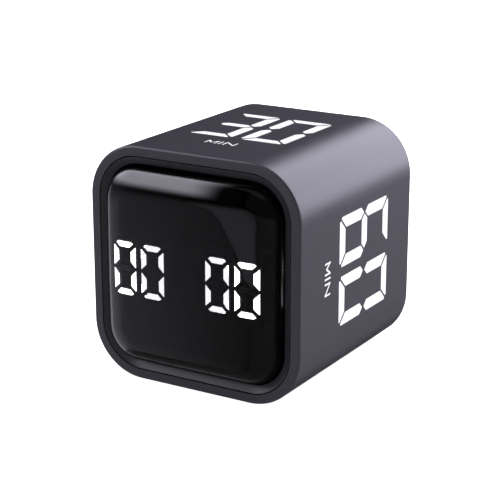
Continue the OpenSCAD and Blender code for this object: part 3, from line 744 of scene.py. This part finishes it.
def soft_light(name, place, aim, size, power, roll):
    """A rectangular soft box at place that faces aim, rolled about its axis."""
    data = bpy.data.lights.new(name, "AREA")
    data.shape = "RECTANGLE"
    data.size, data.size_y = size
    data.energy = power
    data.color = COOL_WHITE
    light = bpy.data.objects.new(name, data)
    light.location = place
    turn = (Vector(aim) - Vector(place)).to_track_quat("-Z", "Y")
    light.rotation_euler = (turn @ Quaternion((0, 0, 1), roll)).to_euler()
    bpy.context.scene.collection.objects.link(light)


def direction(turn, rise):
    """A unit vector turned from the front towards the right and raised, in degrees."""
    a, e = math.radians(turn), math.radians(rise)
    return Vector((math.sin(a) * math.cos(e), -math.cos(a) * math.cos(e), math.sin(e)))


def glow_material(f, strength, amount=None):
    """A material that only gives off light, as much of it as amount says."""
    light = rgba(COOL_WHITE)
    colour = light if amount is None else f.mix(amount, BLACK, light)
    return f.surface(base_color=BLACK, roughness=1.0, specular_ior_level=0.0,
                     emission_color=colour, emission_strength=strength)


def glow_panel(name, bm, material):
    """A stage panel that only shows as a reflection. It stands round the cube's middle."""
    mesh = bpy.data.meshes.new(name)
    bm.to_mesh(mesh)
    bm.free()
    mesh.materials.append(material)
    panel = bpy.data.objects.new(name, mesh)
    panel.location = (0, 0, MID_Z)
    panel.visible_camera = False
    panel.visible_diffuse = False
    panel.visible_transmission = False
    panel.visible_shadow = False
    bpy.context.scene.collection.objects.link(panel)


def left_glow(radius, strength):
    """A piece of a sphere on the left, bright high up and faint lower down."""
    f = Finish("left_glow")
    x, y, z = (f.part(f.place(), axis) * (1 / radius) for axis in "XYZ")
    front = f.sharpen(y, 0.30, -0.05)
    high = f.sharpen(x, -0.475, -0.52) * f.sharpen(z, 0.10, 0.46)
    low = f.sharpen(x, -0.35, -0.80) * (f.sharpen(z, 0.05, -0.5) * 0.13 + 0.03)
    material = glow_material(f, strength, (high + low) * front)
    bm = bmesh.new()
    columns = [[bm.verts.new(direction(turn, rise) * radius) for rise in range(-45, 86, 5)]
               for turn in range(-165, -19, 5)]
    for first, second in zip(columns, columns[1:]):
        for k in range(len(first) - 1):
            bm.faces.new((first[k], first[k + 1], second[k + 1], second[k]))
    glow_panel("left_glow", bm, material)


def low_right_glow(radius, strength):
    """A plain low panel behind the right side."""
    bm = bmesh.new()
    corners = ((176, -38), (110, -38), (110, -2), (176, -2))
    bm.faces.new([bm.verts.new(direction(turn, rise) * radius) for turn, rise in corners])
    glow_panel("low_right_glow", bm, glow_material(Finish("low_right_glow"), strength))


def window_glow(radius, strength):
    """A faint curved pane that the lens mirrors near its upper right corner. It fades
    towards its top and its right."""
    f = Finish("window_glow")
    x, z = (f.part(f.place(), axis) * (1 / radius) for axis in "XZ")
    amount = f.sharpen(z, 0.12, -0.18) * f.sharpen(x, 0.02, -0.24)
    bm = bmesh.new()
    corners = ((-30.2, -9.0), (-29.6, -12.2), (-28.6, -14.0), (-27.9, -15.2),
               (-27.0, -17.4), (1.0, -17.4), (1.0, 7.0), (-31.5, 7.0))
    bm.faces.new([bm.verts.new(direction(turn, rise) * radius) for turn, rise in corners])
    glow_panel("window_glow", bm, glow_material(f, strength, amount))


class TIMER_OT_set_stage(bpy.types.Operator):
    """Sets the camera, the pale floor and the soft lights"""

    bl_idname = "timer.set_stage"
    bl_label = "Set stage"

    def execute(self, context):
        stage = context.scene.timer_stage
        self.set_camera(context, stage)
        self.set_floor(context, stage)
        self.set_lights(context, stage)
        context.scene.view_settings.view_transform = "Standard"
        return {"FINISHED"}

    @staticmethod
    def set_camera(context, stage):
        data = bpy.data.cameras.new("camera")
        data.sensor_width = 36.0
        data.lens = stage.focal_length
        data.clip_start = 0.01
        back = direction(math.degrees(stage.azimuth), math.degrees(stage.elevation))
        right = Vector((0, 0, 1)).cross(back).normalized()
        up = back.cross(right)
        aim = right * stage.side_step + Vector((0, 0, stage.aim_height))
        camera = bpy.data.objects.new("camera", data)
        camera.matrix_world = Matrix.Translation(aim + back * stage.distance) @ Matrix(
            (right, up, back)).transposed().to_4x4()
        context.scene.collection.objects.link(camera)
        context.scene.camera = camera

    @staticmethod
    def set_floor(context, stage):
        f = Finish("pale_floor")
        material = f.surface(base_color=(0.86, 0.86, 0.87, 1.0), roughness=0.9,
                             specular_ior_level=0.1, emission_color=(1.0, 1.0, 1.0, 1.0),
                             emission_strength=stage.floor_glow)
        bm = bmesh.new()
        bmesh.ops.create_grid(bm, x_segments=8, y_segments=8, size=stage.floor_size / 2)
        mesh = bpy.data.meshes.new("floor")
        bm.to_mesh(mesh)
        bm.free()
        mesh.materials.append(material)
        floor = bpy.data.objects.new("floor", mesh)
        context.scene.collection.objects.link(floor)
        floor.visible_glossy = False

    @staticmethod
    def set_lights(context, stage):
        world = bpy.data.worlds.new("sky")
        world.use_nodes = True
        background = world.node_tree.nodes["Background"]
        background.inputs["Color"].default_value = (1.0, 1.0, 1.0, 1.0)
        background.inputs["Strength"].default_value = stage.sky
        context.scene.world = world
        centre = (0, 0, MID_Z)
        soft_light("back_right_box", (0.38, 1.05, 0.34), centre, (0.65, 1.5),
                   stage.back_right, roll=math.radians(-45))
        sun = bpy.data.lights.new("overhead_light", "SUN")
        sun.energy = stage.overhead
        sun.angle = math.radians(60)
        overhead = bpy.data.objects.new("overhead_light", sun)
        overhead.visible_glossy = False
        context.scene.collection.objects.link(overhead)
        left_glow(1.5, stage.left_glow)
        low_right_glow(1.2, stage.right_glow)
        window_glow(1.4, stage.window_glow)


class TIMER_PT_panel(bpy.types.Panel):
    """Lists the steps that build the timer's looks"""

    bl_idname = "TIMER_PT_panel"
    bl_label = "Cube Kitchen Timer"
    bl_space_type = "VIEW_3D"
    bl_region_type = "UI"
    bl_category = "Timer"

    def draw(self, context):
        for step in STEPS:
            self.layout.operator(step.bl_idname)
        for name, group in SETTINGS.items():
            box = self.layout.box()
            box.label(text=group.__doc__)
            for key in group.__annotations__:
                box.prop(getattr(context.scene, name), key)


STEPS = (TIMER_OT_paint_case, TIMER_OT_make_display, TIMER_OT_finish_controls,
         TIMER_OT_print_marks, TIMER_OT_finish_inside, TIMER_OT_set_stage)
CLASSES = tuple(SETTINGS.values()) + STEPS + (TIMER_PT_panel,)


def register():
    for cls in CLASSES:
        bpy.utils.register_class(cls)
    for name, group in SETTINGS.items():
        setattr(bpy.types.Scene, name, bpy.props.PointerProperty(type=group))


def unregister():
    for name in SETTINGS:
        delattr(bpy.types.Scene, name)
    for cls in reversed(CLASSES):
        bpy.utils.unregister_class(cls)


def main():
    register()
    for step in STEPS:
        category, name = step.bl_idname.split(".")
        getattr(getattr(bpy.ops, category), name)()


if __name__ == "__main__":
    main()
